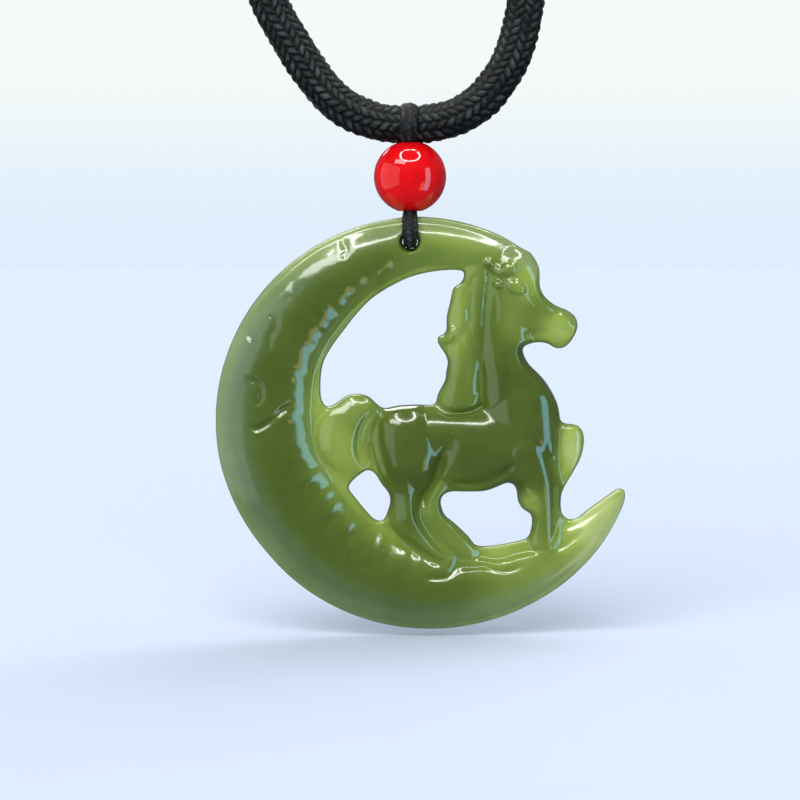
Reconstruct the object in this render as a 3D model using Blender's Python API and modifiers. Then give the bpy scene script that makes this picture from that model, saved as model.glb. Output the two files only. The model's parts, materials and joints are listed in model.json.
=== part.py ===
"""A jade pendant on its necklace, hanging from a peg.

The carving is one stone: a crescent moon that opens to the upper right, with a horse standing
inside it. A thin cord loop runs through the hole near its top edge, up through a red bead and
round a thick braided neck cord. The neck cord's two ends are bound to thinner cords, which cross
inside a sliding knot at the top, and each ends in a stopper knot.

Axes: +Z up, the carving's front faces -Y, and the carving lies in the XZ plane.
Origin: the hang point, on the underside of the sliding knot, where a peg holds the necklace.
Sizes are written in millimetres and multiplied by MM. Places on the carving are measured from
the middle of its hole.
"""
import math

import bmesh
import bpy
from mathutils import Matrix, Vector

MM = 0.001
COLLECTION = "jade_pendant"

# Driving dimensions, in millimetres
HANG_TO_HOLE = 194.0
HOLE_RADIUS = 1.1
MOON_CENTRE = (1.56, -20.1)
MOON_FLATNESS = 0.5
BEAD_RADIUS = 4.0
BEAD_HEIGHT = 7.25
BORE_RADIUS = 1.25
BORE_MOUTH_RADIUS = 1.7
BORE_MOUTH_DEPTH = 0.6
LOOP_RADIUS = 0.5
LOOP_BREADTH = 1.5
LOOP_GAP = 0.1
NECK_RADIUS = 2.1
NECK_WAIST_RADIUS = 1.3
NECK_WAIST_HALF = 0.9
NECK_SHOULDER = 1.95
NECK_HEIGHT = 13.05
THIN_RADIUS = 0.75
WRAP_LENGTH = 9.0
# The end wrap's outline from its foot up: radius, height
WRAP_PROFILE = [(2.2, 0.0), (2.6, 0.8), (2.6, 6.4), (2.1, 7.9), (1.5, WRAP_LENGTH)]
KNOT_HEIGHT = 195.9
KNOT_LENGTH = 20.0
KNOT_HALF_HEIGHT = 1.9
KNOT_HALF_DEPTH = 2.7
KNOT_BORE_RADIUS = 0.9
CORD_OFFSET = 1.05
TAIL_KNOT_RADIUS = 1.8
JOIN_GAP = 0.2
VOXEL = 0.3
CARVING_DETAIL = 0.05

# The crescent: angle about its centre in degrees, radius of its middle line, half its width
MOON_STATIONS = [
    (52, 19.2, 2.2), (62, 19.8, 2.6), (75, 20.0, 2.9), (90, 19.85, 3.15), (110, 19.1, 3.9),
    (130, 18.4, 4.7), (150, 18.05, 5.15), (170, 17.55, 5.65), (190, 17.35, 5.75),
    (210, 17.0, 5.8), (230, 17.0, 5.6), (250, 17.5, 5.3), (270, 18.05, 4.85),
    (290, 18.9, 4.45), (308, 20.3, 3.5), (323, 21.6, 2.5), (334, 22.6, 1.5), (341, 23.2, 0.8),
]

# The horse's forms: flatness from front to back, then places (x, z) and radii down each form
HORSE_FORMS = {
    "barrel": (0.9, [(-0.2, -22.3, 3.9), (4.0, -22.7, 4.4), (8.6, -23.0, 4.6), (12.4, -21.2, 4.3)]),
    "neck": (1.0, [(12.5, -18.6, 4.0), (10.6, -14.0, 3.4), (9.8, -9.5, 3.1), (10.4, -4.6, 3.2)]),
    "head": (1.0, [(11.2, -3.2, 3.0), (12.9, -6.9, 3.0), (15.3, -8.9, 2.3), (16.6, -9.7, 2.0)]),
    "mane": (0.9, [(7.4, -3.4, 1.8), (6.4, -7.0, 2.3), (6.4, -11.2, 2.4), (6.1, -15.2, 2.2),
                   (5.6, -17.4, 2.4)]),
    "tail": (0.62, [(-5.7, -19.6, 2.8), (-7.2, -21.8, 3.2), (-6.2, -23.7, 2.1)]),
    "near_hind_leg": (1.1, [(-0.7, -23.6, 3.2), (-0.3, -27.8, 2.0), (0.3, -31.2, 2.2),
                            (3.0, -34.6, 1.9)]),
    "far_hind_leg": (1.0, [(3.0, -25.6, 2.2), (1.9, -29.1, 1.5), (3.9, -32.4, 1.6),
                           (5.9, -35.0, 1.6)]),
    "standing_foreleg": (1.0, [(13.0, -23.0, 3.2), (14.4, -27.4, 2.4), (15.1, -31.0, 1.8),
                               (15.2, -34.6, 2.0)]),
    "raised_foreleg": (1.0, [(17.5, -21.9, 1.8), (17.6, -23.4, 1.6), (17.0, -25.4, 1.2),
                             (16.3, -26.6, 1.1)]),
}

# Cord routes: x, z above the hole, and for the thin cords y as well (x, y, z)
NECK_ROUTE = [
    (-13.2, 156.0), (-15.6, 135.0), (-17.6, 112.0), (-19.0, 90.0), (-19.8, 70.0),
    (-19.6, 52.0), (-18.3, 38.0), (-15.9, 27.6), (-13.4, 22.6), (-10.4, 18.0), (-7.6, 15.1),
    (-4.6, 13.6), (-2.2, 13.1), (0.0, 13.05), (2.4, 13.15), (5.4, 14.0), (8.2, 15.9),
    (10.4, 18.8), (11.8, 22.0), (12.8, 27.0), (13.6, 38.0), (14.2, 52.0), (14.6, 70.0),
    (14.4, 90.0), (13.9, 112.0), (13.2, 135.0), (12.4, 156.0),
]
THIN_ROUTE = [
    (-12.6, 0.0, 171.5), (-13.4, -0.5, 179.0), (-14.6, -0.9, 186.0), (-14.9, -1.05, 191.4),
    (-13.2, -1.05, 195.0), (-10.2, -1.05, 195.9), (-5.0, -1.05, 195.9), (0.0, -1.05, 195.9),
    (5.0, -1.05, 195.9), (10.2, -1.05, 195.9), (13.6, -1.2, 194.8), (16.2, -1.5, 191.0),
    (17.2, -1.8, 185.0), (17.2, -1.9, 178.5), (16.9, -1.9, 173.2),
]


def clear_scene():
    for item in list(bpy.data.objects):
        bpy.data.objects.remove(item, do_unlink=True)


def make_collection(name):
    collection = bpy.data.collections.new(name)
    bpy.context.scene.collection.children.link(collection)
    return collection


def add_object(name, data, collection):
    item = bpy.data.objects.new(name, data)
    collection.objects.link(item)
    return item


def set_material(item, colour, roughness, metallic=0.0):
    material = bpy.data.materials.new(item.name + "_material")
    material.use_nodes = True
    shader = material.node_tree.nodes["Principled BSDF"]
    shader.inputs["Base Color"].default_value = (*colour, 1.0)
    shader.inputs["Roughness"].default_value = roughness
    shader.inputs["Metallic"].default_value = metallic
    item.data.materials.clear()
    item.data.materials.append(material)


def set_origin(item, point):
    """Moves an object's origin to point, leaving its shape where it is."""
    item.data.transform(Matrix.Translation(-Vector(point)))
    item.location = point


def from_hole(x, y, z):
    """A place given in millimetres from the middle of the hole, in the part's frame."""
    return Vector((x, y, z - HANG_TO_HOLE)) * MM


def smooth_line(points, spacing):
    """Points about spacing apart on a smooth curve through the given ones."""
    points = [Vector(p) for p in points]
    ends = [2 * points[0] - points[1], *points, 2 * points[-1] - points[-2]]
    line = []
    for before, start, end, after in zip(ends, ends[1:], ends[2:], ends[3:]):
        count = max(1, round((end - start).length / spacing))
        for step in range(count):
            t = step / count
            line.append(
                0.5 * (2 * start + (end - before) * t
                       + (2 * before - 5 * start + 4 * end - after) * t ** 2
                       + (3 * start - before - 3 * end + after) * t ** 3)
            )
    line.append(points[-1])
    return line


def tube(name, points, radii, collection, cyclic=False, sides=2):
    """A round tube along points, with a radius at each, as a curve object with filled caps."""
    curve = bpy.data.curves.new(name, "CURVE")
    curve.dimensions = "3D"
    curve.bevel_depth = 1.0
    curve.bevel_resolution = sides
    curve.use_fill_caps = True
    spline = curve.splines.new("POLY")
    spline.points.add(len(points) - 1)
    spline.use_cyclic_u = cyclic
    for place, point, radius in zip(spline.points, points, radii):
        place.co = (*point, 1.0)
        place.radius = radius
    return add_object(name, curve, collection)


def as_mesh(item, collection):
    """The object as a welded mesh in the part's frame; the object itself is removed."""
    bpy.context.view_layer.update()
    graph = bpy.context.evaluated_depsgraph_get()
    mesh = bpy.data.meshes.new_from_object(item.evaluated_get(graph))
    mesh.transform(item.matrix_world)
    name = item.name
    bpy.data.objects.remove(item, do_unlink=True)
    work = bmesh.new()
    work.from_mesh(mesh)
    bmesh.ops.remove_doubles(work, verts=work.verts, dist=0.00001)
    bmesh.ops.recalc_face_normals(work, faces=work.faces)
    work.to_mesh(mesh)
    work.free()
    return add_object(name, mesh, collection)


def joined(name, items, collection):
    """One object that holds the faces of all the items, which are removed."""
    work = bmesh.new()
    for item in items:
        work.from_mesh(item.data)
        bpy.data.objects.remove(item, do_unlink=True)
    mesh = bpy.data.meshes.new(name)
    work.to_mesh(mesh)
    work.free()
    return add_object(name, mesh, collection)


def turned(name, profile, steps, collection):
    """A ring or knob turned about its own Z axis from a closed profile of (radius, height)."""
    mesh = bpy.data.meshes.new(name)
    count = len(profile)
    edges = [(index, (index + 1) % count) for index in range(count)]
    mesh.from_pydata([(radius * MM, 0.0, height * MM) for radius, height in profile], edges, [])
    item = add_object(name, mesh, collection)
    screw = item.modifiers.new("turn", "SCREW")
    screw.steps = steps
    screw.render_steps = steps
    screw.use_merge_vertices = True
    screw.merge_threshold = 0.00001
    screw.use_normal_calculate = True
    return item


def subtract(item, cutter):
    cutter.hide_render = True
    cutter.display_type = "WIRE"
    cut = item.modifiers.new("cut_" + cutter.name, "BOOLEAN")
    cut.operation = "DIFFERENCE"
    cut.object = cutter


def rod(name, radius, length, centre, axis, collection):
    """A plain cylinder, for use as a cutter."""
    bpy.ops.mesh.primitive_cylinder_add(vertices=32, radius=radius * MM, depth=length * MM)
    item = bpy.context.object
    item.name = name
    for home in list(item.users_collection):
        home.objects.unlink(item)
    collection.objects.link(item)
    item.rotation_euler = Vector((0, 0, 1)).rotation_difference(Vector(axis)).to_euler()
    item.location = centre
    return item


def moon_form(collection):
    """The crescent, as an oval tube that swells at the left and thins to its two ends."""
    section = bpy.data.curves.new("moon_section", "CURVE")
    section.dimensions = "2D"
    ring = section.splines.new("POLY")
    count = 20
    ring.points.add(count - 1)
    ring.use_cyclic_u = True
    for index, place in enumerate(ring.points):
        turn = 2 * math.pi * index / count
        place.co = (math.cos(turn), MOON_FLATNESS * math.sin(turn), 0.0, 1.0)
    profile = add_object("moon_section", section, collection)

    stations = [Vector(station) for station in MOON_STATIONS]
    places = smooth_line(stations, 6.0)
    points = []
    for angle, reach, _ in places:
        turn = math.radians(angle)
        points.append(Vector((MOON_CENTRE[0] + reach * math.cos(turn),
                              MOON_CENTRE[1] + reach * math.sin(turn), 0.0)) * MM)
    radii = [half_width * MM for _, _, half_width in places]
    item = tube("moon", points, radii, collection)
    item.data.dimensions = "2D"
    item.data.bevel_mode = "OBJECT"
    item.data.bevel_object = profile
    item.rotation_euler = (math.pi / 2, 0.0, 0.0)
    item.location = from_hole(0, 0, 0)
    solid = as_mesh(item, collection)
    bpy.data.objects.remove(profile, do_unlink=True)
    return solid


def limb_form(name, flatness, stations, collection):
    """One form of the horse: a tube with round ends, flattened from front to back."""
    line = smooth_line(stations, 1.2)
    points = [Vector((x, 0.0, z)) for x, z, _ in line]
    radii = [radius for _, _, radius in line]
    head, foot = (points[0] - points[1]).normalized(), (points[-1] - points[-2]).normalized()
    first, first_radius, last, last_radius = points[0], radii[0], points[-1], radii[-1]
    for share in (0.45, 0.8, 0.98):
        round_off = math.sqrt(1 - share ** 2)
        points = [first + head * first_radius * share, *points, last + foot * last_radius * share]
        radii = [first_radius * round_off, *radii, last_radius * round_off]
    item = tube(name, [p * MM for p in points], [r * MM for r in radii], collection)
    item.scale = (1.0, flatness, 1.0)
    item.location = from_hole(0, 0, 0)
    return as_mesh(item, collection)


def make_carving(parts, cutters):
    """The whole stone: its forms are blended into one skin, then the cord hole is drilled."""
    forms = [moon_form(parts)]
    forms += [limb_form(name, *form, parts) for name, form in HORSE_FORMS.items()]
    carving = joined("jade_carving", forms, parts)
    blend = carving.modifiers.new("blend", "REMESH")
    blend.mode = "VOXEL"
    blend.voxel_size = VOXEL * MM
    polish = carving.modifiers.new("polish", "SMOOTH")
    polish.factor = 0.5
    polish.iterations = 5
    thin = carving.modifiers.new("thin", "DECIMATE")
    thin.ratio = CARVING_DETAIL
    hole = rod("cord_hole", HOLE_RADIUS, 12, from_hole(0, 0, 0), (0, 1, 0), cutters)
    subtract(carving, hole)
    set_material(carving, (0.10, 0.19, 0.04), 0.15)
    set_origin(carving, from_hole(0, 0, 0))
    carving.data.shade_smooth()


def make_bead(parts):
    """A ball with a bore down its middle that widens at both mouths."""
    mouth = math.acos(BORE_MOUTH_RADIUS / BEAD_RADIUS)
    count = 18
    profile = []
    for index in range(count + 1):
        turn = mouth * (1 - 2 * index / count)
        profile.append((BEAD_RADIUS * math.cos(turn), BEAD_RADIUS * math.sin(turn)))
    inner = profile[0][1] - BORE_MOUTH_DEPTH
    profile += [(BORE_RADIUS, -inner), (BORE_RADIUS, inner)]
    bead = turned("red_bead", profile, 36, parts)
    bead.location = from_hole(0, 0, BEAD_HEIGHT)
    set_material(bead, (0.62, 0.01, 0.015), 0.08)
    bead.data.shade_smooth()


def loop_half():
    """Half of the hang loop's route, from its top over the neck cord down into the hole: (y, z)."""
    reach = NECK_WAIST_RADIUS + LOOP_GAP + LOOP_RADIUS
    over = [(reach * math.sin(turn), NECK_HEIGHT + reach * math.cos(turn))
            for turn in (math.radians(step * 22.5) for step in range(7))]
    side = LOOP_RADIUS + 0.08
    through = [(0.86, 11.1), (side + 0.04, 10.4), (side, 9.3), (side, 7.3), (side, 5.3),
               (side + 0.02, 4.4), (0.82, 3.7)]
    round_rim = [(1.3, 3.08), (1.86, 2.5), (2.28, 1.85), (2.45, 1.15), (2.3, 0.68), (1.8, 0.47),
                 (1.0, 0.45)]
    return over + through + round_rim


def make_hang_loop(parts):
    """The closed loop of thin cord that carries the carving and the bead."""
    half = [Vector((0.0, y, z)) for y, z in loop_half()]
    foot = Vector((0.0, 0.0, 0.45))
    other = [Vector((0.0, -p.y, p.z)) for p in reversed(half[1:])]
    points = [from_hole(*p) for p in [*half, foot, *other]]
    loop = tube("hang_loop", points, [LOOP_RADIUS * MM] * len(points), parts, cyclic=True)
    loop = as_mesh(loop, parts)
    loop.data.transform(Matrix.Scale(LOOP_BREADTH, 4, (1.0, 0.0, 0.0)))
    set_origin(loop, from_hole(0, 0, NECK_HEIGHT))
    set_material(loop, (0.012, 0.013, 0.016), 0.75)
    loop.data.shade_smooth()


def neck_radius(x, z):
    """The neck cord's radius: it is squeezed where the hang loop goes round it."""
    if z > NECK_HEIGHT + 4.0:
        return NECK_RADIUS
    share = (abs(x) - NECK_WAIST_HALF) / (NECK_SHOULDER - NECK_WAIST_HALF)
    share = min(max(share, 0.0), 1.0)
    return NECK_WAIST_RADIUS + share * (NECK_RADIUS - NECK_WAIST_RADIUS)


def make_neck_cord(parts):
    line = smooth_line([(x, 0.0, z) for x, z in NECK_ROUTE], 8.0)
    waist = [Vector((side * reach, 0.0, NECK_HEIGHT))
             for side, reach in ((-1, NECK_SHOULDER), (-1, NECK_WAIST_HALF), (1, NECK_WAIST_HALF),
                                 (1, NECK_SHOULDER))]
    left = [p for p in line if p.x < -2.1]
    right = [p for p in line if p.x > 2.1]
    line = [*left, *waist, *right]
    radii = [neck_radius(p.x, p.z) * MM for p in line]
    cord = tube("neck_cord", [from_hole(*p) for p in line], radii, parts)
    set_material(cord, (0.012, 0.013, 0.016), 0.8)


def make_end_wrap(name, foot, above, parts):
    """The bound sleeve that joins the neck cord's end to a thin cord; returns its top."""
    lean = (Vector((foot[0], 0.0, foot[1])) - Vector((above[0], 0.0, above[1]))).normalized()
    base = Vector((foot[0], 0.0, foot[1])) + lean * JOIN_GAP
    barrel = [(0.0, 0.0), *WRAP_PROFILE, (0.0, WRAP_LENGTH)]
    wrap = turned(name, list(reversed(barrel)), 24, parts)
    wrap.rotation_euler = Vector((0, 0, 1)).rotation_difference(lean).to_euler()
    wrap.location = from_hole(*base)
    set_material(wrap, (0.012, 0.013, 0.016), 0.7)
    return base + lean * (WRAP_LENGTH + JOIN_GAP)


def make_thin_cord(name, side, start, parts):
    """A thin cord from its end wrap, through the knot and down to its tail; returns its end."""
    route = [start] + [Vector((side * x, side * y, z)) for x, y, z in THIN_ROUTE]
    line = smooth_line(route, 3.4)
    cord = tube(name, [from_hole(*p) for p in line], [THIN_RADIUS * MM] * len(line), parts)
    set_material(cord, (0.012, 0.013, 0.016), 0.75)
    return line[-1], (line[-1] - line[-2]).normalized()


def make_tail_knot(name, end, direction, parts):
    """The stopper knot at the end of a thin cord's tail."""
    bpy.ops.mesh.primitive_uv_sphere_add(segments=20, ring_count=12, radius=TAIL_KNOT_RADIUS * MM)
    knot = bpy.context.object
    knot.name = name
    for home in list(knot.users_collection):
        home.objects.unlink(knot)
    parts.objects.link(knot)
    knot.location = from_hole(*(end + direction * (TAIL_KNOT_RADIUS + JOIN_GAP)))
    set_material(knot, (0.012, 0.013, 0.016), 0.75)


def make_sliding_knot(parts, cutters):
    """An oval barrel along X with a bore for each thin cord."""
    half = KNOT_LENGTH / 2
    barrel = [(0.0, -half), (0.78, -half), (1.0, -half + 1.2), (1.0, half - 1.2), (0.78, half),
              (0.0, half)]
    profile = [(radius * KNOT_HALF_HEIGHT, height) for radius, height in reversed(barrel)]
    knot = turned("sliding_knot", profile, 28, parts)
    knot = as_mesh(knot, parts)
    knot.data.transform(Matrix.Scale(KNOT_HALF_DEPTH / KNOT_HALF_HEIGHT, 4, (0.0, 1.0, 0.0)))
    knot.data.transform(Matrix.Rotation(math.pi / 2, 4, "Y"))
    knot.location = from_hole(0, 0, KNOT_HEIGHT)
    for side, label in ((-1, "front"), (1, "back")):
        centre = from_hole(0, side * CORD_OFFSET, KNOT_HEIGHT)
        cutter = rod("knot_bore_" + label, KNOT_BORE_RADIUS, KNOT_LENGTH + 4, centre, (1, 0, 0),
                     cutters)
        subtract(knot, cutter)
    set_material(knot, (0.012, 0.013, 0.016), 0.75)


def main():
    clear_scene()
    parts = make_collection(COLLECTION)
    cutters = make_collection(COLLECTION + "_cutters")
    make_carving(parts, cutters)
    make_bead(parts)
    make_hang_loop(parts)
    make_neck_cord(parts)
    for label, side, foot, above in (("left", 1, NECK_ROUTE[0], NECK_ROUTE[1]),
                                     ("right", -1, NECK_ROUTE[-1], NECK_ROUTE[-2])):
        start = make_end_wrap("end_wrap_" + label, foot, above, parts)
        end, direction = make_thin_cord("thin_cord_" + label, side, start, parts)
        make_tail_knot("tail_knot_" + label, end, direction, parts)
    make_sliding_knot(parts, cutters)


main()
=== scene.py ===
"""The looks of a jade pendant that hangs on its necklace.

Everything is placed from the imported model. Shapes are worked out in millimetres from the middle
of the carving's hole (x to the right, y to the back, z up) and placed in metres by at().
"""

import json
import math

import bpy
import numpy as np
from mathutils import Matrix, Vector


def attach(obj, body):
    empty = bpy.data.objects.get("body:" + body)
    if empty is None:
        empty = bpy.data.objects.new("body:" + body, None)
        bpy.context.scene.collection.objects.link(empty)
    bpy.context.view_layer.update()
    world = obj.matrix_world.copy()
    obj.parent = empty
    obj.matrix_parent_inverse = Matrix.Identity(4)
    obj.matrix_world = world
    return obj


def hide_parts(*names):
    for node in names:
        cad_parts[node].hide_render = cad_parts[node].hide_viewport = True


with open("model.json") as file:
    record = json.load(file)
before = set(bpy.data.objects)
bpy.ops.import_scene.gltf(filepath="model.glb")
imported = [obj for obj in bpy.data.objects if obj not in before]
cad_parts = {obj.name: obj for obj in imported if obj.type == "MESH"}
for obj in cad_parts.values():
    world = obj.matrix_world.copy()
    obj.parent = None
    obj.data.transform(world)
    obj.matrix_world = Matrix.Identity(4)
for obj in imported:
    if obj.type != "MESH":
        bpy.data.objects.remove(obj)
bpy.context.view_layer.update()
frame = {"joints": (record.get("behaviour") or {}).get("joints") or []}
JOINTS = {joint["name"]: joint for joint in frame["joints"]}
HOLE = Vector(JOINTS["carving_swing"]["pos_m"])
MM = 0.001
VIEW_CENTRE = (-1.11, -17.5)
VIEW_WIDTH = 88.9
VIEW_DISTANCE = 350.0
VIEW_ELEVATION = 3.0
FLOOR_LEVEL = -43.8
# The backdrop's colour where it meets the floor, and at SKY_TOP (the sine of the height angle)
HORIZON_COLOUR = (0.745, 0.855, 0.98)
SKY_COLOUR = (0.92, 0.96, 0.93)
SKY_TOP = 0.06

# ---------------------------------------------------------------- small helpers


def at(x, y, z):
    return HOLE + Vector((x, y, z)) * MM


def smooth_line(points, spacing, closed=False):
    """An array of points about spacing apart on a smooth curve through the given ones."""
    points = np.array(points, float)
    if closed:
        ends = np.vstack([points[-1:], points, points[:2]])
    else:
        ends = np.vstack([2 * points[0] - points[1], points, 2 * points[-1] - points[-2]])
    line = []
    for before, start, end, after in zip(ends, ends[1:], ends[2:], ends[3:]):
        count = max(1, int(round(np.linalg.norm((end - start)[:3]) / spacing)))
        t = (np.arange(count) / count)[:, None]
        line.append(0.5 * (2 * start + (end - before) * t
                           + (2 * before - 5 * start + 4 * end - after) * t ** 2
                           + (3 * start - before - 3 * end + after) * t ** 3))
    if not closed:
        line.append(points[-1:])
    return np.vstack(line)


def mesh_object(name, points, faces, body, replaces=()):
    """A smooth mesh of points in metres, which rides on a body."""
    mesh = bpy.data.meshes.new(name)
    mesh.from_pydata([tuple(p) for p in points], [], [tuple(f) for f in faces])
    mesh.validate()
    mesh.shade_smooth()
    item = bpy.data.objects.new(name, mesh)
    bpy.context.scene.collection.objects.link(item)
    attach(item, body)
    if replaces:
        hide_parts(*replaces)
    return item


# ---------------------------------------------------------------- camera, lights, floor


def aim(item, place, target):
    item.location = place
    item.rotation_euler = (Vector(target) - Vector(place)).to_track_quat("-Z", "Y").to_euler()


def make_camera():
    data = bpy.data.cameras.new("camera")
    data.sensor_width = 36.0
    data.lens = 36.0 * VIEW_DISTANCE / VIEW_WIDTH
    data.clip_start = 0.01
    camera = bpy.data.objects.new("camera", data)
    bpy.context.scene.collection.objects.link(camera)
    target = at(VIEW_CENTRE[0], 0.0, VIEW_CENTRE[1])
    tilt = math.radians(VIEW_ELEVATION)
    back = Vector((0.0, -math.cos(tilt), math.sin(tilt))) * VIEW_DISTANCE * MM
    aim(camera, target + back, target)
    bpy.context.scene.camera = camera


def emitter(name, colour, strength):
    material = bpy.data.materials.new(name)
    material.use_nodes = True
    tree = material.node_tree
    tree.nodes.clear()
    output = tree.nodes.new("ShaderNodeOutputMaterial")
    glow = tree.nodes.new("ShaderNodeEmission")
    glow.inputs["Color"].default_value = (*colour, 1.0)
    glow.inputs["Strength"].default_value = strength
    tree.links.new(glow.outputs[0], output.inputs[0])
    return material


def only_in_gloss(item):
    """The item shows in reflections, and lights and shades nothing."""
    item.visible_camera = False
    item.visible_diffuse = False
    item.visible_transmission = False
    item.visible_shadow = False


def make_ring_lamp():
    """A round tube lamp above the pendant and a little in front, for the ring highlights."""
    bpy.ops.mesh.primitive_torus_add(major_radius=0.142, minor_radius=0.012,
                                     major_segments=96, minor_segments=12)
    ring = bpy.context.object
    ring.name = "ring_lamp"
    ring.location = at(0.0, -110.0, 300.0)
    ring.data.materials.append(emitter("ring_glow", (1.0, 1.0, 0.97), 24.0))
    only_in_gloss(ring)


def make_card(name, azimuth, elevation, distance, width, height, colour, strength):
    """A bright card that faces the pendant; azimuth 0 is in front of it, and 90 to its right."""
    turn, tilt = math.radians(azimuth), math.radians(elevation)
    centre = at(0.0, 0.0, -18.0)
    offset = Vector((math.sin(turn) * math.cos(tilt), -math.cos(turn) * math.cos(tilt),
                     math.sin(tilt))) * distance
    bpy.ops.mesh.primitive_plane_add(size=1.0)
    card = bpy.context.object
    card.name = name
    card.scale = (width, height, 1.0)
    aim(card, centre + offset, centre)
    card.data.materials.append(emitter(name, colour, strength))
    only_in_gloss(card)


def make_floor():
    """A wide pale floor just under the carving."""
    bpy.ops.mesh.primitive_circle_add(vertices=96, radius=4.0, fill_type="NGON")
    floor = bpy.context.object
    floor.name = "floor"
    floor.location = at(0.0, 0.0, FLOOR_LEVEL)
    material = bpy.data.materials.new("floor")
    material.use_nodes = True
    shader = material.node_tree.nodes["Principled BSDF"]
    shader.inputs["Base Color"].default_value = (0.54, 0.615, 0.76, 1.0)
    shader.inputs["Roughness"].default_value = 1.0
    shader.inputs["Specular IOR Level"].default_value = 0.0
    floor.data.materials.append(material)
    floor.visible_glossy = False


def soft_sun(name, direction, strength, spread, colour):
    """Even soft light from one direction, which doesn't show in the gloss, as the cards do."""
    data = bpy.data.lights.new(name, "SUN")
    data.energy = strength
    data.angle = math.radians(spread)
    data.color = colour
    item = bpy.data.objects.new(name, data)
    item.visible_glossy = False
    bpy.context.scene.collection.objects.link(item)
    aim(item, Vector(direction), Vector())


def make_world():
    """A dim pale surround, which the camera sees as a bright backdrop."""
    world = bpy.data.worlds.new("studio")
    bpy.context.scene.world = world
    world.use_nodes = True
    tree = world.node_tree
    dim = tree.nodes["Background"]
    dim.inputs["Color"].default_value = (0.86, 0.92, 1.0, 1.0)
    dim.inputs["Strength"].default_value = 0.14
    bright = tree.nodes.new("ShaderNodeBackground")
    place = tree.nodes.new("ShaderNodeTexCoord")
    height = tree.nodes.new("ShaderNodeSeparateXYZ")
    tree.links.new(place.outputs["Generated"], height.inputs[0])
    sky = ramp(tree, height.outputs["Z"], [(0.0, HORIZON_COLOUR), (SKY_TOP, SKY_COLOUR)],
               smooth=True)
    tree.links.new(sky, bright.inputs["Color"])
    path = tree.nodes.new("ShaderNodeLightPath")
    choice = tree.nodes.new("ShaderNodeMixShader")
    tree.links.new(path.outputs["Is Camera Ray"], choice.inputs[0])
    tree.links.new(dim.outputs[0], choice.inputs[1])
    tree.links.new(bright.outputs[0], choice.inputs[2])
    tree.links.new(choice.outputs[0], tree.nodes["World Output"].inputs["Surface"])


def make_lights():
    soft_sun("key_light", (-0.25, -0.95, 0.70), 3.6, 50.0, (1.0, 0.99, 0.96))
    soft_sun("back_light", (0.45, 0.9, 0.55), 1.7, 50.0, (0.98, 1.0, 1.0))
    soft_sun("overhead_light", (0.05, 0.25, 1.0), 1.2, 70.0, (0.98, 1.0, 1.0))
    make_ring_lamp()
    make_card("window_card", 60.0, -6.0, 0.6, 0.20, 0.74, (0.34, 0.76, 1.0), 4.6)
    make_card("warm_card", 43.0, -27.0, 0.58, 0.10, 0.26, (1.0, 0.80, 0.42), 2.6)
    make_card("left_card", -72.0, 4.0, 0.55, 0.84, 0.66, (0.93, 1.0, 1.0), 1.05)
    make_card("back_card", 196.0, 34.0, 0.6, 0.34, 0.16, (1.0, 1.0, 0.98), 5.0)
    make_card("upper_card", -42.0, 47.0, 0.6, 0.34, 0.13, (1.0, 1.0, 0.98), 9.0)


# ---------------------------------------------------------------- materials


def new_material(name, colour, roughness):
    """A material whose shader starts from an even colour and roughness."""
    material = bpy.data.materials.new(name)
    material.use_nodes = True
    shader = material.node_tree.nodes["Principled BSDF"]
    shader.inputs["Base Color"].default_value = (*colour, 1.0)
    shader.inputs["Roughness"].default_value = roughness
    return material, material.node_tree, shader


def noise(tree, scale, detail=3.0, roughness=0.5):
    """Noise in the piece's own coordinates, scale in waves a metre."""
    place = tree.nodes.new("ShaderNodeTexCoord")
    node = tree.nodes.new("ShaderNodeTexNoise")
    node.inputs["Scale"].default_value = scale
    node.inputs["Detail"].default_value = detail
    node.inputs["Roughness"].default_value = roughness
    tree.links.new(place.outputs["Object"], node.inputs["Vector"])
    return node.outputs["Fac"]


def ramp(tree, source, stops, smooth=False):
    """Colours along a value; stops are (place, colour)."""
    node = tree.nodes.new("ShaderNodeValToRGB")
    if smooth:
        node.color_ramp.interpolation = "EASE"
    elements = node.color_ramp.elements
    while len(elements) < len(stops):
        elements.new(0.5)
    for element, (place, colour) in zip(elements, stops):
        element.position = place
        element.color = (*colour, 1.0)
    tree.links.new(source, node.inputs["Fac"])
    return node.outputs["Color"]


def mixed(tree, share, first, second, mode="MIX"):
    """Two colours mixed by a share; each of the three is a socket or a plain value."""
    node = tree.nodes.new("ShaderNodeMix")
    node.data_type = "RGBA"
    node.blend_type = mode
    for key, value in (("Factor_Float", share), ("A_Color", first), ("B_Color", second)):
        socket = next(s for s in node.inputs if s.identifier == key)
        if isinstance(value, bpy.types.NodeSocket):
            tree.links.new(value, socket)
        elif isinstance(value, tuple):
            socket.default_value = (*value, 1.0)
        else:
            socket.default_value = value
    return next(s for s in node.outputs if s.identifier == "Result_Color")


def bump(tree, shader, source, depth):
    """Fine unevenness, depth in metres."""
    node = tree.nodes.new("ShaderNodeBump")
    node.inputs["Distance"].default_value = depth
    tree.links.new(source, node.inputs["Height"])
    tree.links.new(node.outputs["Normal"], shader.inputs["Normal"])


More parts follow.
